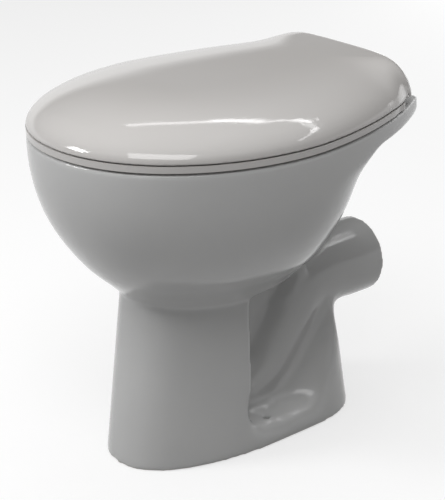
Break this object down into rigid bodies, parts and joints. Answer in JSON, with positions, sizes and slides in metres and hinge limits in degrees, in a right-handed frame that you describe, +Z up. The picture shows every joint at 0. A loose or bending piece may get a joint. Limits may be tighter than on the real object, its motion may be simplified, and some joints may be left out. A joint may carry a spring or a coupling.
{
  "type": "toilet pan with seat and cover",
  "caption": "Floor-standing washdown toilet pan with rounded bowl, pedestal with side pockets, horizontal outlet, hinged ring seat and domed hinged cover.",
  "frame": {"origin": "on the floor under the middle of the overall box, seat and cover closed", "axes": "X across the pan, +Y towards the back where the outlet is, +Z up"},
  "size_m": [0.358, 0.467, 0.4524],
  "materials": {
    "china": "gloss glaze",
    "seat_plastic": "gloss",
    "hinge_plastic": "satin",
    "nylon": "matte",
    "rubber": "matte",
    "steel": "brushed"
  },
  "bodies": {
    "pan": {"pan": "china", "hinge_post_right": "hinge_plastic", "hinge_post_left": "hinge_plastic", "hinge_pin_right": "steel", "hinge_pin_left": "steel", "post_gasket_right": "rubber", "post_gasket_left": "rubber", "hinge_bolt_right": "steel", "hinge_bolt_left": "steel", "cone_washer_right": "rubber", "cone_washer_left": "rubber", "plain_washer_right": "steel", "plain_washer_left": "steel", "wing_nut_right": "nylon", "wing_nut_left": "nylon"},
    "seat": {"seat_ring": "seat_plastic", "seat_buffer_front_right": "rubber", "seat_buffer_front_left": "rubber", "seat_buffer_rear_right": "rubber", "seat_buffer_rear_left": "rubber", "seat_bush_right": "nylon", "seat_bush_left": "nylon"},
    "cover": {"seat_cover": "seat_plastic", "cover_buffer_front_right": "rubber", "cover_buffer_front_left": "rubber", "cover_buffer_rear_right": "rubber", "cover_buffer_rear_left": "rubber", "cover_bush_right": "nylon", "cover_bush_left": "nylon"}
  },
  "joints": [
    {"name": "seat_hinge", "type": "hinge", "parent": "pan", "child": "seat", "pos_m": [0, 0.1935, 0.44], "axis": [-1, 0, 0], "range_deg": [0, 95]},
    {"name": "cover_hinge", "type": "hinge", "parent": "seat", "child": "cover", "pos_m": [0, 0.1935, 0.44], "axis": [-1, 0, 0], "range_deg": [0, 93]}
  ]
}
